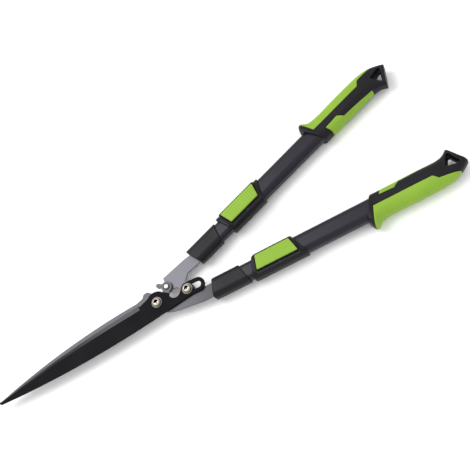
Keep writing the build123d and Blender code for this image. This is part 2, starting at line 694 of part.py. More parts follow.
def make_collar(side, name):
    """The collar on the outer tube's mouth, with the raised frame that holds the rocker."""
    wide = OUTER_W + 2 * COLLAR_WALL
    high = OUTER_H + 2 * COLLAR_WALL
    outline = (
        (COLLAR_FRONT_OUT, wide / 2),
        (COLLAR_FRONT_IN, -wide / 2),
        (COLLAR_BACK_IN, -wide / 2),
        (COLLAR_BACK_OUT, wide / 2),
    )
    seat = -(OUTER_H / 2 + COLLAR_WALL - SCREW_HEAD_H)
    window = (PLUNGER_L / 2 + LOCK_HOLE_CLEAR, PLUNGER_W / 2 + LOCK_HOLE_CLEAR)
    with BuildPart() as collar:
        with BuildSketch(cross_plane(side, COLLAR_FRONT_OUT)):
            RectangleRounded(wide, high, OUTER_CORNER + COLLAR_WALL)
        extrude(amount=COLLAR_BACK_OUT - COLLAR_FRONT_OUT)
        add_prism(side, facing(side, outline), -high, high, Mode.INTERSECT, COLLAR_ROUND)
        frame = rocker_outline(side, ROCKER_GAP + FRAME_WALL)
        add_prism(side, frame, POCKET_FLOOR, FRAME_HIGH, Mode.ADD, FRAME_WALL)
        pocket = rocker_outline(side, ROCKER_GAP)
        add_prism(side, pocket, POCKET_FLOOR, FLANGE_H, Mode.SUBTRACT)
        plunger_way = (
            (PLUNGER_S - window[0], -window[1]),
            (PLUNGER_S + window[0], -window[1]),
            (PLUNGER_S + window[0], window[1]),
            (PLUNGER_S - window[0], window[1]),
        )
        add_prism(side, plunger_way, 0, FLANGE_H, Mode.SUBTRACT)
        with BuildSketch(cross_plane(side, COLLAR_FRONT_OUT - 1)):
            RectangleRounded(
                INNER_W + 2 * TUBE_GAP, INNER_H + 2 * TUBE_GAP, TUBE_CORNER + TUBE_GAP
            )
        extrude(amount=OUTER_START - COLLAR_FRONT_OUT + 2, mode=Mode.SUBTRACT)
        with BuildSketch(cross_plane(side, OUTER_START)):
            RectangleRounded(OUTER_W, OUTER_H, OUTER_CORNER)
        extrude(amount=COLLAR_BACK_OUT - OUTER_START + 1, mode=Mode.SUBTRACT)
        half_frame = ROCKER_W / 2 + ROCKER_GAP + FRAME_WALL
        add_crosswise(
            side, ROCKER_PIN_S, ROCKER_PIN_Z, ROCKER_PIN_D / 2, half_frame + 1, Mode.SUBTRACT
        )
        add_screw_holes(side, COLLAR_SCREWS, seat)
    save(collar, f"{name}_lock_collar")
    make_screws(side, f"{name}_collar_screws", COLLAR_SCREWS, seat)


def make_rocker(side, name):
    """Rocker with its plunger, soft pad, hinge pin and return spring."""
    half_frame = ROCKER_W / 2 + ROCKER_GAP + FRAME_WALL
    tip = INNER_H / 2 + PLUNGER_LIFT
    hub_half = ROCKER_W / 2
    with BuildPart() as rocker:
        add_prism(side, rocker_outline(side, 0), ROCKER_LOW, ROCKER_HIGH)
        add_crosswise(side, ROCKER_PIN_S, ROCKER_PIN_Z, ROCKER_HUB_R, hub_half)
        plunger = (
            (PLUNGER_S - PLUNGER_L / 2, -PLUNGER_W / 2),
            (PLUNGER_S + PLUNGER_L / 2, -PLUNGER_W / 2),
            (PLUNGER_S + PLUNGER_L / 2, PLUNGER_W / 2),
            (PLUNGER_S - PLUNGER_L / 2, PLUNGER_W / 2),
        )
        add_prism(side, plunger, tip, ROCKER_LOW)
        add_crosswise(
            side, ROCKER_PIN_S, ROCKER_PIN_Z, ROCKER_PIN_D / 2 + RUNNING_FIT, half_frame,
            Mode.SUBTRACT,
        )
        with BuildSketch(plan_plane(side, HANDLE_Z + ROCKER_LOW)):
            with Locations((SPRING_S, 0)):
                Circle(SPRING_SEAT_D / 2)
        extrude(amount=SPRING_SEAT_DEPTH, mode=Mode.SUBTRACT)
    save(rocker, f"{name}_lock_rocker")

    with BuildPart() as pad:
        add_prism(side, rocker_outline(side, -PAD_INSET), ROCKER_HIGH, PAD_HIGH, corner=1.0)
        fillet(pad.faces().sort_by(Axis.Z)[-1].edges(), PAD_INSET)
    save(pad, f"{name}_rocker_pad")

    with BuildPart() as pin:
        add_crosswise(side, ROCKER_PIN_S, ROCKER_PIN_Z, ROCKER_PIN_D / 2, half_frame)
    save(pin, f"{name}_rocker_pin")

    low = HANDLE_Z + POCKET_FLOOR + SPRING_WIRE / 2
    high = HANDLE_Z + ROCKER_LOW + SPRING_SEAT_DEPTH - HEAD_GAP - SPRING_WIRE / 2
    foot = (*on_handle(side, SPRING_S, 0), low)
    with BuildPart() as spring:
        with BuildLine() as coil:
            Helix((high - low) / SPRING_TURNS, high - low, (SPRING_D - SPRING_WIRE) / 2, foot)
        with BuildSketch(coil.line ^ 0):
            Circle(SPRING_WIRE / 2)
        sweep(is_frenet=True)
    save(spring, f"{name}_lock_spring")


def grip_form(side, inset):
    """The grip's closed outer form, or the same form inset all round."""
    with BuildPart() as form:
        for s, inner, outer, height in GRIP_SECTIONS:
            with BuildSketch(cross_plane(side, s)):
                with Locations(((inner + outer) / 2, 0)):
                    tall = height - 2 * inset
                    RectangleRounded(outer - inner - 2 * inset, tall, tall * GRIP_CORNER)
        loft()
        front_out, front_in = GRIP_FRONT
        back_out, back_in = GRIP_BACK
        keep = (front_out, front_in, back_in, back_out)
        reach = [stretch(*keep[i], keep[1 - i]) for i in (0, 1)]
        reach += [stretch(*keep[i], keep[5 - i]) for i in (2, 3)]
        add_prism(side, facing(side, reach), -FLANGE_H, FLANGE_H, Mode.INTERSECT)
    return form.part


def stretch(s, t, other):
    """Move the point (s, t) away from other along their line, past the grip's side."""
    return (other[0] + (s - other[0]) * GRIP_TRIM, other[1] + (t - other[1]) * GRIP_TRIM)


def flared(points):
    """An outline grown about its middle to the recess round the hang hole."""
    middle = [sum(values) / len(points) for values in zip(*points)]
    return [
        tuple(m + (v - m) * HANG_FLARE for m, v in zip(middle, point)) for point in points
    ]


def make_grip(side, name):
    """Grip core with its hang hole, two soft pads let into it, and the screw below."""
    full = grip_form(side, 0)
    inset = grip_form(side, PAD_T)
    pads = []
    for node, outline in (("grip_outer_pad", OUTER_PAD), ("grip_inner_pad", INNER_PAD)):
        with BuildPart() as pad:
            add(full)
            add(inset, mode=Mode.SUBTRACT)
            add_prism(side, facing(side, outline), -FLANGE_H, FLANGE_H, Mode.INTERSECT)
        save(pad, f"{name}_{node}")
        pads.append(pad.part)
    seat = -(OUTER_H / 2 + SCREW_HEAD_H)
    with BuildPart() as core:
        add(full)
        for pad in pads:
            add(pad, mode=Mode.SUBTRACT)
        with BuildSketch(cross_plane(side, GRIP_SECTIONS[0][0] - 1)):
            RectangleRounded(OUTER_W, OUTER_H, OUTER_CORNER)
        extrude(amount=OUTER_END - GRIP_SECTIONS[0][0] + 1, mode=Mode.SUBTRACT)
        add_prism(side, facing(side, HANG_HOLE), -FLANGE_H, FLANGE_H, Mode.SUBTRACT, HANG_ROUND)
        recess = facing(side, flared(HANG_HOLE))
        for low, top in ((HANG_WEB / 2, FLANGE_H), (-FLANGE_H, -HANG_WEB / 2)):
            add_prism(side, recess, low, top, Mode.SUBTRACT, HANG_ROUND)
        add_screw_holes(side, GRIP_SCREWS, seat)
    save(core, f"{name}_grip_core")
    make_screws(side, f"{name}_grip_screw", GRIP_SCREWS, seat)


def make_sliding_handle(side, name):
    """Everything that slides out along one inner tube."""
    make_outer_tube(side, name)
    make_collar(side, name)
    make_rocker(side, name)
    make_grip(side, name)


make_front_blade()
make_rear_blade()
make_lever_plate()
make_main_pivot()
make_lever_pivot()
make_drive_pin()
make_inner_arm(1, "upper", LEVER_BOTTOM)
make_inner_arm(-1, "lower", REAR_BOTTOM)
make_sliding_handle(1, "upper")
make_sliding_handle(-1, "lower")
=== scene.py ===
"""Telescopic hedge shears: finishes, softened edges, ribbed grips and a plain studio."""

import json
from math import cos, pi, radians, sin

import bmesh
import bpy
from bpy.props import FloatProperty, FloatVectorProperty, IntProperty, PointerProperty
from mathutils import Matrix, Vector


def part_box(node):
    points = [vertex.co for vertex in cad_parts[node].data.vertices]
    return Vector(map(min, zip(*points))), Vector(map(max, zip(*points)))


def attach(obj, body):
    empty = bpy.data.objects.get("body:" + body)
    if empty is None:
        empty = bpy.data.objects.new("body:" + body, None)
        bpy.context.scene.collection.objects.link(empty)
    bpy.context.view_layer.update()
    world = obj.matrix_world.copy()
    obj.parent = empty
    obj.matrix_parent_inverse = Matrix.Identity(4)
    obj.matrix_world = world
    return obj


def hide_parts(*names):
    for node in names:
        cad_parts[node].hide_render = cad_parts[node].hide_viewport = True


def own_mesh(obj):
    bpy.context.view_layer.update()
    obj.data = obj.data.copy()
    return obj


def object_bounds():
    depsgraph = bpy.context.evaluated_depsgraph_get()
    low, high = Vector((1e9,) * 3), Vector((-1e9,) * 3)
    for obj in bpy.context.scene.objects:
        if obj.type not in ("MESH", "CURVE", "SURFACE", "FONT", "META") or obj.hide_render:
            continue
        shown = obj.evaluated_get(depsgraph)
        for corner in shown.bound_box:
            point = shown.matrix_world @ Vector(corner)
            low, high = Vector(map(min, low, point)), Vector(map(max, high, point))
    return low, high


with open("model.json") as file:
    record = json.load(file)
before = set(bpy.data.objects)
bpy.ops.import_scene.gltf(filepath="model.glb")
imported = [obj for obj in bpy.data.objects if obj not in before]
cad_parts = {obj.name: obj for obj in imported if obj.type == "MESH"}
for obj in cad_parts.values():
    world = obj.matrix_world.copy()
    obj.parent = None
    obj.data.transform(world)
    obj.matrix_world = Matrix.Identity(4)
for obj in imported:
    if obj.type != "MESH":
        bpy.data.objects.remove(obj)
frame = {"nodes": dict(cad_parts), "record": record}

bl_info = {
    "name": "Telescopic hedge shears",
    "version": (1, 0, 0),
    "blender": (4, 5, 0),
    "location": "3D View > Sidebar > Shears",
    "description": "Finishes and details the hedge shears, and sets up a plain studio",
    "category": "Object",
}

CAD_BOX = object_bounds()
BODY_OF = {
    node: body
    for body, nodes in frame["record"]["behaviour"]["bodies"].items()
    for node in nodes
}
SIDES = {"upper": 1, "lower": -1}
HANDLE_TURN = radians(10.0)

# Joining and shading the copied meshes
WELD_GAP = 2e-6
SHORTEST_EDGE = 1e-6
FLAT_ANGLE = radians(0.6)  # neighbouring faces closer than this are one flat face
LEVEL_NORMAL = 0.9995  # a face counts as level when its normal's z is above this
SHARP_EDGE = radians(38.0)  # metal edges sharper than this are rounded
METAL_SMOOTHING = radians(32.0)
BLADE_SMOOTHING = radians(24.0)
SOFT_SMOOTHING = radians(60.0)
BEVEL_NORMALS = (0.5, 0.985)  # the ground bevel's faces have a normal z between these
SOFTEN_FACTOR = 0.5
MOULD_ROUNDS = 3
PAD_ROUNDS = 2

# Finishes
NOISE_SPAN = (0.3, 0.7)  # where most of a noise texture's values lie
ROUGHNESS_SWING = 0.12
GRAIN_DEPTH = 0.0002
GRAIN_DETAIL = 3.0
MOTTLE_DETAIL = 4.0
LINE_DETAIL = 2.0
BRUSHED_MOTTLE_SCALE = 30.0
# Painted shade along X, from the pivot bolt's tip side: where each darkening starts and ends, and
# what share of the colour is left
# The fixed blade's tang darkens towards the ferrule, under the front blade: painted shade
TANG_PAINTED_SHADE = (0.02, 0.11, 0.55)
# The ground bevel darkens towards the blade's tip: painted shade
BEVEL_PAINTED_SHADE = (-0.05, -0.17, 0.10)

# Ribs
RIB_FACING = (0.35, 0.75)  # ribs grow in as the surface turns outward between these
RIB_CREST = (-0.2, 0.9)  # the part of each wave that becomes a ridge
RIB_FADE = 0.004

# Studio
FLOOR_HALF = 18.0
FLOOR_GAP = 0.0002
FLOOR_ROUGHNESS = 0.9
KEY_SIZE = 1.2
KEY_PLACE = (-0.5, 0.6, 1.5)
SENSOR_WIDTH = 36.0
CAMERA_REACH = 50.0
CROSSING_IN_VIEW = (-0.1657, -0.1439, 0.0)  # where the handles' crossing falls, off the middle


def handle_axis(side_name):
    """Unit vector out along one handle."""
    return Vector((cos(HANDLE_TURN), SIDES[side_name] * sin(HANDLE_TURN), 0.0))


def handle_centre(side_name):
    """The middle of one handle's inner tube, a point on the handle's axis."""
    low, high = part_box(f"{side_name}_inner_tube")
    return (low + high) / 2


# ------------------------------------------------------------------ settings
class ShearsSizes(bpy.types.PropertyGroup):
    """Sizes of the softened edges and of the ribs."""

    plate_edge: FloatProperty(
        name="Plate edge", description="Rounding of the steel plates' edges",
        default=0.00022, min=0.0, unit="LENGTH",
    )
    hardware_edge: FloatProperty(
        name="Hardware edge", description="Rounding of bolts, nuts and washers",
        default=0.00015, min=0.0, unit="LENGTH",
    )
    edge_steps: IntProperty(
        name="Edge steps", description="Faces across a rounded edge", default=2, min=1, max=4,
    )
    mould_cell: FloatProperty(
        name="Mould cell", description="Cell size of the moulded plastic meshes",
        default=0.0007, min=0.0003, unit="LENGTH",
    )
    pad_cell: FloatProperty(
        name="Pad cell", description="Cell size of the soft pad meshes",
        default=0.00045, min=0.0003, unit="LENGTH",
    )
    grip_rib_pitch: FloatProperty(
        name="Grip rib pitch", description="Distance between ribs on the grip pads",
        default=0.0030, min=0.001, unit="LENGTH",
    )
    rocker_rib_pitch: FloatProperty(
        name="Rocker rib pitch", description="Distance between ribs on the rocker pads",
        default=0.0036, min=0.001, unit="LENGTH",
    )
    rib_height: FloatProperty(
        name="Rib height", description="How far the ribs stand out of the thumb and rocker pads",
        default=0.00028, min=0.0, unit="LENGTH",
    )
    palm_rib_height: FloatProperty(
        name="Palm rib height", description="How far the ribs stand out of the palm pads",
        default=0.00010, min=0.0, unit="LENGTH",
    )


class ShearsColours(bpy.types.PropertyGroup):
    """Colours of the shears' finishes."""

    blade_coat: FloatVectorProperty(
        name="Blade coat", description="Black coating of the moving blade",
        subtype="COLOR", default=(0.0036, 0.0033, 0.0050), min=0.0, max=1.0,
    )
    ground_steel: FloatVectorProperty(
        name="Ground steel", description="Bare steel of the ground cutting bevel",
        subtype="COLOR", default=(0.10, 0.10, 0.107), min=0.0, max=1.0,
    )
    plate_steel: FloatVectorProperty(
        name="Plate steel", description="Satin grey of the lever plate",
        subtype="COLOR", default=(0.115, 0.114, 0.130), min=0.0, max=1.0,
    )
    rear_steel: FloatVectorProperty(
        name="Fixed blade steel", description="Satin grey of the fixed blade and its tang",
        subtype="COLOR", default=(0.068, 0.068, 0.076), min=0.0, max=1.0,
    )
    nickel: FloatVectorProperty(
        name="Nickel", description="Bright plate of the bolts",
        subtype="COLOR", default=(0.34, 0.315, 0.265), min=0.0, max=1.0,
    )
    washer_nickel: FloatVectorProperty(
        name="Washer nickel", description="Duller plate of the washers",
        subtype="COLOR", default=(0.13, 0.12, 0.10), min=0.0, max=1.0,
    )
    dark_steel: FloatVectorProperty(
        name="Dark steel", description="Blackened nuts, screws and pins",
        subtype="COLOR", default=(0.030, 0.030, 0.033), min=0.0, max=1.0,
    )
    tube_coat: FloatVectorProperty(
        name="Tube coat", description="Charcoal coating of the tubes",
        subtype="COLOR", default=(0.0068, 0.0062, 0.0130), min=0.0, max=1.0,
    )
    black_plastic: FloatVectorProperty(
        name="Black plastic", description="Ferrules, collars and grip cores",
        subtype="COLOR", default=(0.0044, 0.0037, 0.0064), min=0.0, max=1.0,
    )
    nylon: FloatVectorProperty(
        name="Nylon", description="Plugs inside the tubes",
        subtype="COLOR", default=(0.42, 0.41, 0.38), min=0.0, max=1.0,
    )
    lime: FloatVectorProperty(
        name="Lime rubber", description="Soft pads on the grips and rockers",
        subtype="COLOR", default=(0.215, 0.375, 0.027), min=0.0, max=1.0,
    )


class ShearsStudio(bpy.types.PropertyGroup):
    """The floor, the light and the camera."""

    floor_colour: FloatVectorProperty(
        name="Floor", description="Colour of the floor",
        subtype="COLOR", default=(0.97, 0.97, 0.97), min=0.0, max=1.0,
    )
    sky: FloatProperty(
        name="Sky", description="Strength of the even light", default=1.02, min=0.0,
    )
    key: FloatProperty(
        name="Key light", description="Power of the large soft light in watts",
        default=16.0, min=0.0,
    )
    distance: FloatProperty(
        name="Camera distance", description="From the camera to the plane of the handles",
        default=1.169, min=0.1, unit="LENGTH",
    )
    lens: FloatProperty(
        name="Lens", description="Focal length in millimetres", default=66.3, min=10.0,
    )
    tilt: FloatProperty(
        name="Tilt", description="How far the camera leans off the vertical",
        default=radians(28.0), subtype="ANGLE",
    )
    tilt_heading: FloatProperty(
        name="Tilt heading", description="Which way in the view the vertical leans",
        default=radians(135.9), subtype="ANGLE",
    )
    roll: FloatProperty(
        name="Roll", description="Turn of the shears in the view",
        default=radians(35.2), subtype="ANGLE",
    )


# ------------------------------------------------------------------ shader groups
def new_group(name, inputs, outputs):
    """An empty shader group with named number inputs and outputs."""
    group = bpy.data.node_groups.new(name, "ShaderNodeTree")
    for label, value in inputs.items():
        socket = group.interface.new_socket(label, in_out="INPUT", socket_type="NodeSocketFloat")
        socket.default_value = value
    for label in outputs:
        group.interface.new_socket(label, in_out="OUTPUT", socket_type="NodeSocketFloat")
    return group, group.nodes.new("NodeGroupInput"), group.nodes.new("NodeGroupOutput")


def noise_on(group, vector, scale, detail):
    """A noise texture read at a vector socket; scale is a socket or a number."""
    noise = group.nodes.new("ShaderNodeTexNoise")
    noise.inputs["Detail"].default_value = detail
    group.links.new(vector, noise.inputs["Vector"])
    if isinstance(scale, (int, float)):
        noise.inputs["Scale"].default_value = scale
    else:
        group.links.new(scale, noise.inputs["Scale"])
    return noise.outputs["Fac"]


def moulded_grain_group():
    """Fine pebbled grain and slow mottling, for plastic, rubber and coatings."""
    group, given, out = new_group(
        "Moulded grain", {"Grain Scale": 1800.0, "Mottle Scale": 45.0}, ("Grain", "Mottle")
    )
    place = group.nodes.new("ShaderNodeTexCoord").outputs["Object"]
    grain = noise_on(group, place, given.outputs["Grain Scale"], GRAIN_DETAIL)
    mottle = noise_on(group, place, given.outputs["Mottle Scale"], MOTTLE_DETAIL)
    group.links.new(grain, out.inputs["Grain"])
    group.links.new(mottle, out.inputs["Mottle"])
    return group


def brushed_lines_group():
    """Fine lines drawn out along one direction, for brushed and drawn metal."""
    group, given, out = new_group(
        "Brushed lines", {"Turn": 0.0, "Along": 25.0, "Across": 1600.0}, ("Grain", "Mottle")
    )
    place = group.nodes.new("ShaderNodeTexCoord").outputs["Object"]
    turn = group.nodes.new("ShaderNodeVectorRotate")
    turn.rotation_type = "Z_AXIS"
    group.links.new(place, turn.inputs["Vector"])
    group.links.new(given.outputs["Turn"], turn.inputs["Angle"])
    stretch = group.nodes.new("ShaderNodeCombineXYZ")
    group.links.new(given.outputs["Along"], stretch.inputs["X"])
    group.links.new(given.outputs["Across"], stretch.inputs["Y"])
    group.links.new(given.outputs["Across"], stretch.inputs["Z"])
    scaled = group.nodes.new("ShaderNodeVectorMath")
    scaled.operation = "MULTIPLY"
    group.links.new(turn.outputs["Vector"], scaled.inputs[0])
    group.links.new(stretch.outputs["Vector"], scaled.inputs[1])
    grain = noise_on(group, scaled.outputs["Vector"], 1.0, LINE_DETAIL)
    mottle = noise_on(group, place, BRUSHED_MOTTLE_SCALE, MOTTLE_DETAIL)
    group.links.new(grain, out.inputs["Grain"])
    group.links.new(mottle, out.inputs["Mottle"])
    return group


# ------------------------------------------------------------------ finishes
def map_range(tree, value, low, high):
    """Map a noise value socket onto low to high, over the span where the noise mostly lies."""
    node = tree.nodes.new("ShaderNodeMapRange")
    node.inputs["From Min"].default_value = NOISE_SPAN[0]
    node.inputs["From Max"].default_value = NOISE_SPAN[1]
    node.inputs["To Min"].default_value = low
    node.inputs["To Max"].default_value = high
    tree.links.new(value, node.inputs["Value"])
    return node.outputs["Result"]


def tinted(tree, value, colour, spread):
    """A colour that gets a little darker and lighter with a 0 to 1 value."""
    mix = tree.nodes.new("ShaderNodeMix")
    mix.data_type = "RGBA"
    colours = [socket for socket in mix.inputs if socket.type == "RGBA"]
    for socket, share in zip(colours, (1 - spread, 1 + spread)):
        socket.default_value = (*[min(part * share, 1.0) for part in colour], 1.0)
    tree.links.new(map_range(tree, value, 0.0, 1.0), mix.inputs[0])
    return [socket for socket in mix.outputs if socket.type == "RGBA"][0]


def make_finish(
    name, colour, roughness, metallic, group, settings, spread, relief, shine=0.5, painted_shade=None
):
    """A material whose colour, roughness and relief all come from one pattern group; painted shade
    along X darkens the colour when one is given.
    """
    material = bpy.data.materials.new(name)
    material.use_nodes = True
    tree = material.node_tree
    shader = tree.nodes["Principled BSDF"]
    pattern = tree.nodes.new("ShaderNodeGroup")
    pattern.node_tree = group
    for label, value in settings.items():
        pattern.inputs[label].default_value = value
    base = tinted(tree, pattern.outputs["Mottle"], colour, spread)
    # Painted shade: the colour darkens along X
    if painted_shade:
        base = painted_shade_along(tree, base, *painted_shade)
    tree.links.new(base, shader.inputs["Base Color"])
    smoother, rougher = roughness * (1 - ROUGHNESS_SWING), roughness * (1 + ROUGHNESS_SWING)
    rough = map_range(tree, pattern.outputs["Mottle"], smoother, rougher)
    tree.links.new(rough, shader.inputs["Roughness"])
    bump = tree.nodes.new("ShaderNodeBump")
    bump.inputs["Strength"].default_value = relief
    bump.inputs["Distance"].default_value = GRAIN_DEPTH
    tree.links.new(pattern.outputs["Grain"], bump.inputs["Height"])
    tree.links.new(bump.outputs["Normal"], shader.inputs["Normal"])
    shader.inputs["Metallic"].default_value = metallic
    shader.inputs["Specular IOR Level"].default_value = shine
    return material


def painted_shade_along(tree, base, start, end, far_share):
    """Painted shade: a colour that changes along X, from itself at start to a share of itself at end.
    """
    place = tree.nodes.new("ShaderNodeTexCoord").outputs["Object"]
    parts = tree.nodes.new("ShaderNodeSeparateXYZ")
    tree.links.new(place, parts.inputs["Vector"])
    ramp = tree.nodes.new("ShaderNodeMapRange")
    ramp.interpolation_type = "SMOOTHSTEP"
    ramp.inputs["From Min"].default_value = start
    ramp.inputs["From Max"].default_value = end
    ramp.inputs["To Min"].default_value = 1.0
    ramp.inputs["To Max"].default_value = far_share
    tree.links.new(parts.outputs["X"], ramp.inputs["Value"])
    scale = tree.nodes.new("ShaderNodeVectorMath")
    scale.operation = "SCALE"
    tree.links.new(base, scale.inputs[0])
    tree.links.new(ramp.outputs["Result"], scale.inputs["Scale"])
    return scale.outputs["Vector"]


FINISHES = {}


def prepare_finishes():
    """Make every finish once, from the colours in the panel."""
    colours = bpy.context.scene.shears_colours
    grain = moulded_grain_group()
    lines = brushed_lines_group()
    fine = {"Grain Scale": 2600.0, "Mottle Scale": 30.0}
    pebble = {"Grain Scale": 1500.0, "Mottle Scale": 40.0}
    speckle = {"Grain Scale": 1100.0, "Mottle Scale": 420.0}
    along_blade = {"Turn": 0.0, "Along": 40.0, "Across": 1400.0}
    bolt_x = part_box("pivot_bolt")[0].x
    # Painted shade: where the tang and the ground bevel darken along X, measured from the pivot bolt
    tang_painted_shade, bevel_painted_shade = (
        (bolt_x + start, bolt_x + end, share) for start, end, share in (TANG_PAINTED_SHADE, BEVEL_PAINTED_SHADE)
    )
    # name, colour, roughness, metallic, pattern and its settings, spread, relief, shine, painted
    # shade
    rows = (
        ("Blade coat", colours.blade_coat, 0.50, 0.0, grain, fine, 0.12, 0.12, 0.06),
        # The ground bevel's bare steel darkens towards the tip: painted shade
        ("Ground bevel", colours.ground_steel, 0.34, 0.85, lines, along_blade, 0.15, 0.15, 0.5,
         bevel_painted_shade),
        ("Plate steel", colours.plate_steel, 0.42, 0.6, grain, speckle, 0.12, 0.20),
        # The fixed blade's steel darkens along its tang: painted shade
        ("Rear blade steel", colours.rear_steel, 0.42, 0.6, lines, along_blade, 0.14, 0.22,
         0.5, tang_painted_shade),
        ("Bright nickel", colours.nickel, 0.32, 1.0, grain, fine, 0.04, 0.04),
        ("Washer nickel", colours.washer_nickel, 0.42, 1.0, grain, fine, 0.06, 0.08),
        ("Dark steel", colours.dark_steel, 0.35, 0.8, grain, fine, 0.10, 0.08),
        ("Black plastic", colours.black_plastic, 0.44, 0.0, grain, pebble, 0.30, 0.24, 0.22),
        ("Nylon", colours.nylon, 0.50, 0.0, grain, pebble, 0.06, 0.10),
        ("Lime rubber", colours.lime, 0.55, 0.0, grain, pebble, 0.05, 0.22, 0.3),
    )
    for row in rows:
        FINISHES[row[0]] = make_finish(*row)
    for side_name, side in SIDES.items():
        settings = {"Turn": -side * HANDLE_TURN, "Along": 20.0, "Across": 1500.0}
        FINISHES[f"Tube coat {side_name}"] = make_finish(
            f"Tube coat {side_name}", colours.tube_coat, roughness=0.36, metallic=0.25,
            group=lines, settings=settings, spread=0.08, relief=0.08, shine=0.39,
        )


# ------------------------------------------------------------------ pieces
def welded_copy(node, name):
    """A joined-up copy of a CAD node's triangles, as a new object."""
    work = bmesh.new()
    work.from_mesh(frame["nodes"][node].data)
    bmesh.ops.remove_doubles(work, verts=work.verts, dist=WELD_GAP)
    bmesh.ops.dissolve_degenerate(work, edges=work.edges, dist=SHORTEST_EDGE)
    bmesh.ops.recalc_face_normals(work, faces=work.faces)
    mesh = bpy.data.meshes.new(name)
    work.to_mesh(mesh)
    work.free()
    mesh.materials.clear()
    piece = bpy.data.objects.new(name, mesh)
    bpy.context.scene.collection.objects.link(piece)
    return piece


def merge_flats(piece):
    """Join coplanar triangles, so that only real edges are rounded."""
    work = bmesh.new()
    work.from_mesh(piece.data)
    bmesh.ops.dissolve_limit(
        work, angle_limit=FLAT_ANGLE, verts=work.verts, edges=work.edges
    )
    work.to_mesh(piece.data)
    work.free()


def apply_modifiers(piece):
    """Turn a piece's evaluated shape into its plain mesh."""
    graph = bpy.context.evaluated_depsgraph_get()
    mesh = bpy.data.meshes.new_from_object(piece.evaluated_get(graph))
    piece.modifiers.clear()
    piece.data = mesh
    return piece


def smooth_shading(piece, angle):
    """Shade smooth, apart from edges sharper than the angle."""
    mesh = piece.data
    mesh.polygons.foreach_set("use_smooth", [True] * len(mesh.polygons))
    mesh.set_sharp_from_angle(angle=angle)


def flatten_level_faces(piece):
    """Shade a plate's two flat sides flat, so that its rounded edges don't bend their light."""
    for polygon in piece.data.polygons:
        if abs(polygon.normal.z) > LEVEL_NORMAL:
            polygon.use_smooth = False


def hand_over(piece, node):
    """The piece stands for a CAD node: the node is hidden and the piece joins the same body."""
    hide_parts(node)
    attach(piece, BODY_OF[node])


def rounded_metal(node, finish, edge):
    """A CAD node's shape with small rounded edges, in a metal finish."""
    piece = welded_copy(node, f"{node}_finished")
    piece.data.materials.append(FINISHES[finish])
    merge_flats(piece)
    bevel = piece.modifiers.new("Edges", "BEVEL")
    bevel.width = edge
    bevel.segments = bpy.context.scene.shears_sizes.edge_steps
    bevel.limit_method = "ANGLE"
    bevel.angle_limit = SHARP_EDGE
    bevel.use_clamp_overlap = True
    return piece


def finish_metal(node, finish, edge):
    """Rounded metal, handed over."""
    piece = apply_modifiers(rounded_metal(node, finish, edge))
    smooth_shading(piece, METAL_SMOOTHING)
    flatten_level_faces(piece)
    hand_over(piece, node)


def moulded(node, finish, cell, rounds):
    """A CAD node's shape with the soft edges of a moulding."""
    piece = welded_copy(node, f"{node}_moulded")
    piece.data.materials.append(FINISHES[finish])
    remesh = piece.modifiers.new("Mould", "REMESH")
    remesh.mode = "VOXEL"
    remesh.voxel_size = cell
    remesh.use_smooth_shade = True
    soften = piece.modifiers.new("Soften", "SMOOTH")
    soften.factor = SOFTEN_FACTOR
    soften.iterations = rounds
    return piece


def repaint(node, finish):
    """Give a CAD node that keeps its own shape a better material."""
    target = frame["nodes"][node]
    if not target.material_slots:
        target.data.materials.append(FINISHES[finish])
    for slot in target.material_slots:
        slot.material = FINISHES[finish]


# ------------------------------------------------------------------ ribs
def math_node(tree, operation, first, second=None):
    """A maths node; its inputs are sockets or numbers."""
    node = tree.nodes.new("ShaderNodeMath")
    node.operation = operation
    for index, value in enumerate((first, second)):
        if isinstance(value, (int, float)):
            node.inputs[index].default_value = value
        elif value is not None:
            tree.links.new(value, node.inputs[index])
    return node.outputs[0]


def vector_node(tree, operation, first, second=None, scale=None):
    """A vector maths node fed by sockets."""
    node = tree.nodes.new("ShaderNodeVectorMath")
    node.operation = operation
    tree.links.new(first, node.inputs[0])
    if second is not None:
        tree.links.new(second, node.inputs[1])
    if scale is not None:
        tree.links.new(scale, node.inputs["Scale"])
    return node.outputs["Value"] if operation == "DOT_PRODUCT" else node.outputs["Vector"]


def smooth_step(tree, value, low, high):
    """0 below low, 1 above high, smooth between."""
    node = tree.nodes.new("ShaderNodeMapRange")
    node.interpolation_type = "SMOOTHSTEP"
    for label, end in (("From Min", low), ("From Max", high)):
        if isinstance(end, (int, float)):
            node.inputs[label].default_value = end
        else:
            tree.links.new(end, node.inputs[label])
    tree.links.new(value, node.inputs["Value"])
    return node.outputs["Result"]


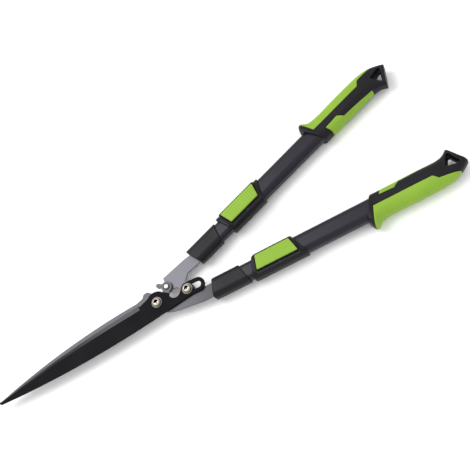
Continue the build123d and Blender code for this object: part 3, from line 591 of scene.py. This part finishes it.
def rib_tree():
    """Raise ribs across an axis on the outward side of a pad."""
    tree = bpy.data.node_groups.new("Pad ribs", "GeometryNodeTree")
    face = tree.interface
    face.new_socket("Geometry", in_out="INPUT", socket_type="NodeSocketGeometry")
    for label in ("Pitch", "Height", "Start", "End", "Fade"):
        face.new_socket(label, in_out="INPUT", socket_type="NodeSocketFloat")
    for label in ("Axis", "Centre"):
        face.new_socket(label, in_out="INPUT", socket_type="NodeSocketVector")
    face.new_socket("Material", in_out="INPUT", socket_type="NodeSocketMaterial")
    face.new_socket("Geometry", in_out="OUTPUT", socket_type="NodeSocketGeometry")
    given = tree.nodes.new("NodeGroupInput").outputs
    out = tree.nodes.new("NodeGroupOutput")
    position = tree.nodes.new("GeometryNodeInputPosition").outputs["Position"]
    normal = tree.nodes.new("GeometryNodeInputNormal").outputs["Normal"]
    offset = vector_node(tree, "SUBTRACT", position, given["Centre"])
    along = vector_node(tree, "DOT_PRODUCT", offset, given["Axis"])
    on_axis = vector_node(tree, "SCALE", given["Axis"], scale=along)
    outward = vector_node(tree, "NORMALIZE", vector_node(tree, "SUBTRACT", offset, on_axis))
    facing = smooth_step(tree, vector_node(tree, "DOT_PRODUCT", normal, outward), *RIB_FACING)
    turns = math_node(tree, "DIVIDE", along, given["Pitch"])
    wave = math_node(tree, "COSINE", math_node(tree, "MULTIPLY", turns, 2 * pi))
    ridge = smooth_step(tree, wave, *RIB_CREST)
    after = smooth_step(
        tree, along, given["Start"], math_node(tree, "ADD", given["Start"], given["Fade"])
    )
    left = math_node(tree, "SUBTRACT", given["End"], along)
    before = smooth_step(tree, left, 0.0, given["Fade"])
    lift = given["Height"]
    for mask in (ridge, facing, after, before):
        lift = math_node(tree, "MULTIPLY", lift, mask)
    move = vector_node(tree, "SCALE", normal, scale=lift)
    place = tree.nodes.new("GeometryNodeSetPosition")
    tree.links.new(given["Geometry"], place.inputs["Geometry"])
    tree.links.new(move, place.inputs["Offset"])
    realize = tree.nodes.new("GeometryNodeRealizeInstances")
    tree.links.new(place.outputs["Geometry"], realize.inputs["Geometry"])
    paint = tree.nodes.new("GeometryNodeSetMaterial")
    tree.links.new(realize.outputs["Geometry"], paint.inputs["Geometry"])
    tree.links.new(given["Material"], paint.inputs["Material"])
    tree.links.new(paint.outputs["Geometry"], out.inputs["Geometry"])
    return tree


def add_ribs(piece, side_name, node, pitch, height, margin):
    """Put the rib modifier on a pad, between margins from the pad's two ends."""
    tree = bpy.data.node_groups.get("Pad ribs") or rib_tree()
    axis = handle_axis(side_name)
    centre = handle_centre(side_name)
    reach = [(vertex.co - centre).dot(axis) for vertex in frame["nodes"][node].data.vertices]
    values = {
        "Pitch": pitch, "Height": height,
        "Start": min(reach) + margin, "End": max(reach) - margin, "Fade": RIB_FADE,
        "Axis": axis, "Centre": centre, "Material": FINISHES["Lime rubber"],
    }
    modifier = piece.modifiers.new("Ribs", "NODES")
    modifier.node_group = tree
    for item in tree.interface.items_tree:
        if item.in_out == "INPUT" and item.name in values:
            modifier[item.identifier] = values[item.name]


def ribbed_pad(node, side_name, pitch, height, margin):
    """A soft pad with moulded edges and ribs, handed over."""
    sizes = bpy.context.scene.shears_sizes
    piece = moulded(node, "Lime rubber", sizes.pad_cell, PAD_ROUNDS)
    add_ribs(piece, side_name, node, pitch, height, margin)
    apply_modifiers(piece)
    smooth_shading(piece, SOFT_SMOOTHING)
    hand_over(piece, node)


# ------------------------------------------------------------------ operators
class SHEARS_OT_blades(bpy.types.Operator):
    """Both blades, with their ground bevels in bare steel"""

    bl_idname = "shears.blades"
    bl_label = "Blades"

    def execute(self, context):
        edge = context.scene.shears_sizes.plate_edge
        for node, finish in (("front_blade", "Blade coat"), ("rear_blade", "Rear blade steel")):
            piece = rounded_metal(node, finish, edge)
            piece.data.materials.append(FINISHES["Ground bevel"])
            for polygon in piece.data.polygons:
                if BEVEL_NORMALS[0] < abs(polygon.normal.z) < BEVEL_NORMALS[1]:
                    polygon.material_index = 1
            apply_modifiers(piece)
            smooth_shading(piece, BLADE_SMOOTHING)
            flatten_level_faces(piece)
            hand_over(piece, node)
        return {"FINISHED"}


class SHEARS_OT_lever(bpy.types.Operator):
    """The lever plate"""

    bl_idname = "shears.lever"
    bl_label = "Lever plate"

    def execute(self, context):
        finish_metal("lever_plate", "Plate steel", context.scene.shears_sizes.plate_edge)
        return {"FINISHED"}


class SHEARS_OT_pivots(bpy.types.Operator):
    """Bolts, washers, nuts, rivet and bushes"""

    bl_idname = "shears.pivots"
    bl_label = "Pivot hardware"

    def execute(self, context):
        edge = context.scene.shears_sizes.hardware_edge
        for node in ("pivot_bolt", "drive_bolt", "lever_rivet"):
            finish_metal(node, "Bright nickel", edge)
        for node in ("pivot_washer", "drive_washer"):
            finish_metal(node, "Washer nickel", edge)
        for node in ("pivot_nut", "drive_nut", "lever_washer"):
            finish_metal(node, "Dark steel", edge)
        for node in ("drive_bush", "lever_bush"):
            repaint(node, "Dark steel")
        return {"FINISHED"}


class SHEARS_OT_tubes(bpy.types.Operator):
    """Inner and outer tubes, with the plugs and pins inside them"""

    bl_idname = "shears.tubes"
    bl_label = "Tubes"

    def execute(self, context):
        for name in SIDES:
            repaint(f"{name}_inner_tube", f"Tube coat {name}")
            repaint(f"{name}_outer_tube", f"Tube coat {name}")
            repaint(f"{name}_shank_plug", "Nylon")
            repaint(f"{name}_end_plug", "Nylon")
            repaint(f"{name}_cross_pins", "Dark steel")
        return {"FINISHED"}


class SHEARS_OT_mouldings(bpy.types.Operator):
    """Ferrules, lock collars, rockers and grip cores in black plastic"""

    bl_idname = "shears.mouldings"
    bl_label = "Black mouldings"

    def execute(self, context):
        cell = context.scene.shears_sizes.mould_cell
        for name in SIDES:
            for part in ("ferrule", "lock_collar", "lock_rocker", "grip_core"):
                node = f"{name}_{part}"
                piece = apply_modifiers(moulded(node, "Black plastic", cell, MOULD_ROUNDS))
                smooth_shading(piece, SOFT_SMOOTHING)
                hand_over(piece, node)
        return {"FINISHED"}


class SHEARS_OT_pads(bpy.types.Operator):
    """Ribbed soft pads of the grips and rockers"""

    bl_idname = "shears.pads"
    bl_label = "Soft pads"

    def execute(self, context):
        sizes = context.scene.shears_sizes
        for name in SIDES:
            for part, pitch, height, margin in (
                ("grip_outer_pad", sizes.grip_rib_pitch, sizes.palm_rib_height, 0.020),
                ("grip_inner_pad", sizes.grip_rib_pitch, sizes.rib_height, 0.003),
                ("rocker_pad", sizes.rocker_rib_pitch, sizes.rib_height, 0.006),
            ):
                ribbed_pad(f"{name}_{part}", name, pitch, height, margin)
        return {"FINISHED"}


def compressing_spring(name):
    """The rocker's return spring: a copy of the CAD coil, shaded smooth, on its own mesh."""
    node = f"{name}_lock_spring"
    spring = welded_copy(node, f"{node}_coil")
    spring.data.materials.append(FINISHES["Bright nickel"])
    smooth_shading(spring, SOFT_SMOOTHING)
    hand_over(spring, node)
    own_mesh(spring)


class SHEARS_OT_screws(bpy.types.Operator):
    """Collar and grip screws, rocker pins and springs"""

    bl_idname = "shears.screws"
    bl_label = "Screws, pins and springs"

    def execute(self, context):
        edge = context.scene.shears_sizes.hardware_edge
        for name in SIDES:
            finish_metal(f"{name}_collar_screws", "Dark steel", edge)
            finish_metal(f"{name}_grip_screw", "Dark steel", edge)
            repaint(f"{name}_rocker_pin", "Dark steel")
            compressing_spring(name)
        return {"FINISHED"}


class SHEARS_OT_studio(bpy.types.Operator):
    """Plain pale floor, soft light and the camera"""

    bl_idname = "shears.studio"
    bl_label = "Studio"

    def execute(self, context):
        studio = context.scene.shears_studio
        make_floor(studio)
        make_light(studio)
        make_camera(studio)
        return {"FINISHED"}


# ------------------------------------------------------------------ studio
def make_floor(studio):
    """A wide flat floor under the shears."""
    half, level = FLOOR_HALF, CAD_BOX[0][2] - FLOOR_GAP
    mesh = bpy.data.meshes.new("floor")
    corners = [(-half, -half, level), (half, -half, level), (half, half, level), (-half, half, level)]
    mesh.from_pydata(corners, [], [(0, 1, 2, 3)])
    floor = bpy.data.objects.new("floor", mesh)
    bpy.context.scene.collection.objects.link(floor)
    material = bpy.data.materials.new("Floor")
    material.use_nodes = True
    shader = material.node_tree.nodes["Principled BSDF"]
    shader.inputs["Base Color"].default_value = (*studio.floor_colour, 1.0)
    shader.inputs["Roughness"].default_value = FLOOR_ROUGHNESS
    mesh.materials.append(material)


def make_light(studio):
    """Even sky light and one large soft light overhead."""
    scene = bpy.context.scene
    world = scene.world or bpy.data.worlds.new("World")
    scene.world = world
    scene.view_settings.view_transform = "Standard"
    world.use_nodes = True
    sky = world.node_tree.nodes["Background"]
    sky.inputs["Color"].default_value = (1.0, 1.0, 1.0, 1.0)
    sky.inputs["Strength"].default_value = studio.sky
    lamp = bpy.data.lights.new("key", "AREA")
    lamp.energy = studio.key
    lamp.shape = "DISK"
    lamp.size = KEY_SIZE
    key = bpy.data.objects.new("key", lamp)
    key.location = KEY_PLACE
    key.rotation_euler = Vector(key.location).to_track_quat("Z", "Y").to_euler()
    scene.collection.objects.link(key)


def make_camera(studio):
    """A camera that leans off the vertical and turns the shears across the frame."""
    origin = handle_crossing()
    lean = Vector((cos(studio.tilt_heading), sin(studio.tilt_heading), 0.0))
    across = Vector((0.0, 0.0, 1.0)).cross(lean)
    turn = Matrix.Rotation(studio.tilt, 3, across) @ Matrix.Rotation(studio.roll, 3, "Z")
    shift = Vector(CROSSING_IN_VIEW)
    back = turn.transposed()
    data = bpy.data.cameras.new("camera")
    data.lens = studio.lens
    data.sensor_width = SENSOR_WIDTH
    data.clip_end = CAMERA_REACH
    camera = bpy.data.objects.new("camera", data)
    place = origin + back @ (Vector((0.0, 0.0, studio.distance)) - shift)
    camera.matrix_world = Matrix.Translation(place) @ back.to_4x4()
    bpy.context.scene.collection.objects.link(camera)
    bpy.context.scene.camera = camera


def handle_crossing():
    """The point where the two handles' axes cross, from the upper handle's middle."""
    centre = handle_centre("upper")
    axis = handle_axis("upper")
    return centre - axis * (centre.y / axis.y)


# ------------------------------------------------------------------ panel
OPERATORS = (
    SHEARS_OT_blades, SHEARS_OT_lever, SHEARS_OT_pivots, SHEARS_OT_tubes,
    SHEARS_OT_mouldings, SHEARS_OT_pads, SHEARS_OT_screws, SHEARS_OT_studio,
)


class SHEARS_PT_panel(bpy.types.Panel):
    """Buttons and settings of the hedge shears"""

    bl_idname = "SHEARS_PT_panel"
    bl_label = "Hedge shears"
    bl_space_type = "VIEW_3D"
    bl_region_type = "UI"
    bl_category = "Shears"

    def draw(self, context):
        for operator in OPERATORS:
            self.layout.operator(operator.bl_idname)
        for settings in ("shears_sizes", "shears_colours", "shears_studio"):
            group = getattr(context.scene, settings)
            box = self.layout.box()
            for name in group.__annotations__:
                box.prop(group, name)


SETTINGS = (
    ("shears_sizes", ShearsSizes),
    ("shears_colours", ShearsColours),
    ("shears_studio", ShearsStudio),
)


def register():
    for name, group in SETTINGS:
        bpy.utils.register_class(group)
        setattr(bpy.types.Scene, name, PointerProperty(type=group))
    for item in (*OPERATORS, SHEARS_PT_panel):
        bpy.utils.register_class(item)


def unregister():
    for item in reversed((*OPERATORS, SHEARS_PT_panel)):
        bpy.utils.unregister_class(item)
    for name, group in reversed(SETTINGS):
        delattr(bpy.types.Scene, name)
        bpy.utils.unregister_class(group)


def main():
    register()
    prepare_finishes()
    bpy.ops.shears.blades()
    bpy.ops.shears.lever()
    bpy.ops.shears.pivots()
    bpy.ops.shears.tubes()
    bpy.ops.shears.mouldings()
    bpy.ops.shears.pads()
    bpy.ops.shears.screws()
    bpy.ops.shears.studio()


if __name__ == "__main__":
    main()
